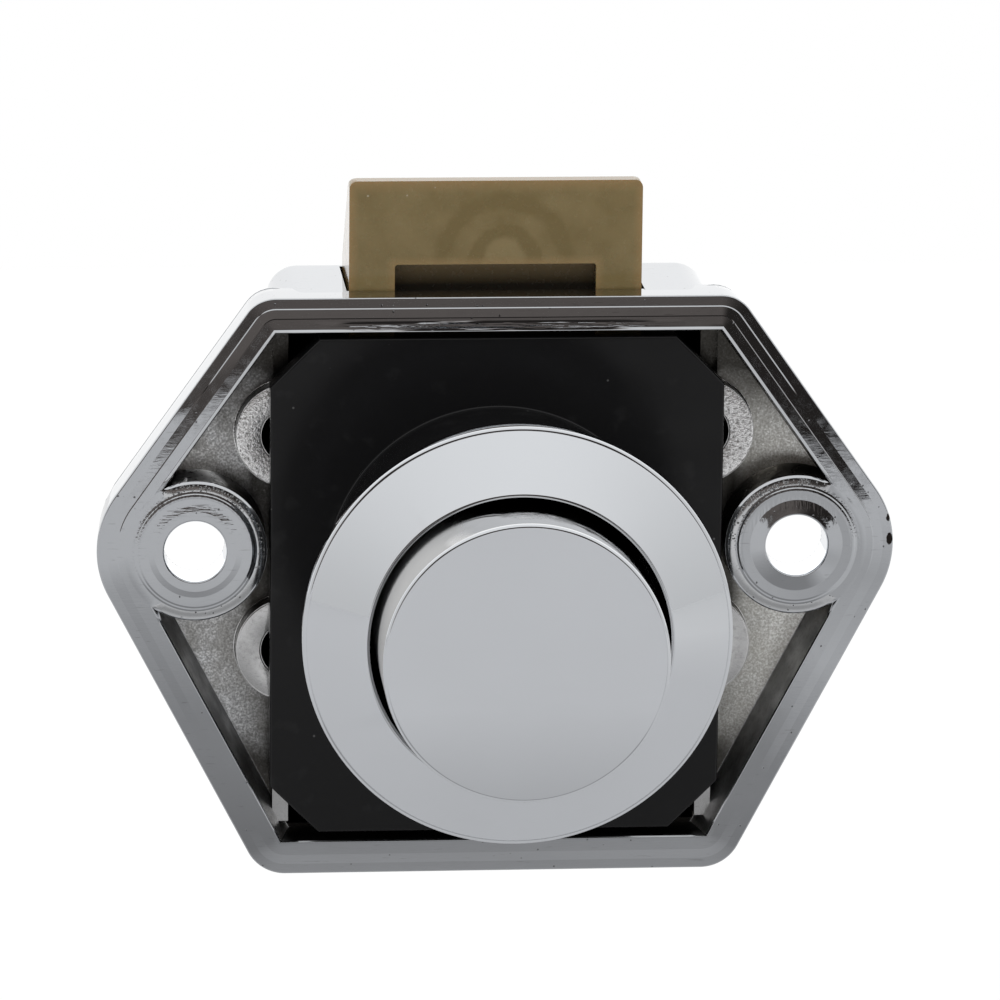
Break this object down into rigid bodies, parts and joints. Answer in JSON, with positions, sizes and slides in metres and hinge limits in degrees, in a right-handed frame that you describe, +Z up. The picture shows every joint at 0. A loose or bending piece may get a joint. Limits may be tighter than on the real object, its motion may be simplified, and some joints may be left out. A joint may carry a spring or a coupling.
{
  "type": "push button cabinet lock",
  "caption": "Push-to-lock rim lock for a thin cabinet door: chromed case, sleeve, trim ring and push-push knob that locks and pulls back a sprung bevelled bolt.",
  "frame": {"origin": "on the knob's axis, in the plane of the case's mounting face", "axes": "+X to the right seen from the knob, +Y into the cabinet, +Z up along the bolt"},
  "size_m": [0.0604, 0.0394, 0.053],
  "materials": {
    "chrome_case": "bright chrome over a die casting, satin in the pockets",
    "chrome_trim": "bright chrome, smooth",
    "black_plate": "glossy black moulding with fine scratches",
    "black_core": "satin black moulding",
    "grey_slider": "satin dark grey moulding",
    "natural_acetal": "satin off-white moulding",
    "nylon": "satin brown moulding with pale edges",
    "spring_steel": "bright drawn wire",
    "zinc_steel": "bright zinc plate",
    "rubber": "matt black rubber"
  },
  "bodies": {
    "case": {"housing": "chrome_case", "sleeve_plate": "black_plate", "plate_screws": "zinc_steel", "slider_guide": "natural_acetal", "trim_ring": "chrome_trim", "bolt_spring_left": "spring_steel", "bolt_spring_right": "spring_steel"},
    "puller": {"puller": "grey_slider", "pull_pins": "zinc_steel", "follower_leaf": "spring_steel", "thrust_washer": "zinc_steel", "knob_spring": "spring_steel"},
    "knob": {"knob_cap": "chrome_trim", "knob_core": "black_core", "core_screw": "zinc_steel", "plunger": "natural_acetal", "rubber_buffer": "rubber", "retaining_clip": "spring_steel"},
    "follower": {"cam_follower": "spring_steel"},
    "bolt": {"bolt": "nylon"}
  },
  "joints": [
    {"name": "pull", "type": "slide", "parent": "case", "child": "puller", "axis": [0, 1, 0], "range_m": [-0.004, 0]},
    {"name": "press", "type": "slide", "parent": "puller", "child": "knob", "axis": [0, 1, 0], "range_m": [0, 0.005], "stiffness_N_per_m": 400, "springref_m": -0.006, "deforming": ["knob_spring"]},
    {"name": "bolt_slide", "type": "slide", "parent": "case", "child": "bolt", "axis": [0, 0, 1], "range_m": [-0.0081, 0], "stiffness_N_per_m": 600, "springref_m": 0.004, "deforming": ["bolt_spring_left", "bolt_spring_right"]},
    {"name": "follower_swing", "type": "hinge", "parent": "puller", "child": "follower", "pos_m": [0, -0.0015, -0.0057], "axis": [0, 0, 1], "range_deg": [0, 10]}
  ],
  "couplings": [
    {"joint": "bolt_slide", "follows": "pull", "ratio": 2.025},
    {"joint": "follower_swing", "follows": "press", "rad_per_m": 34.01}
  ]
}
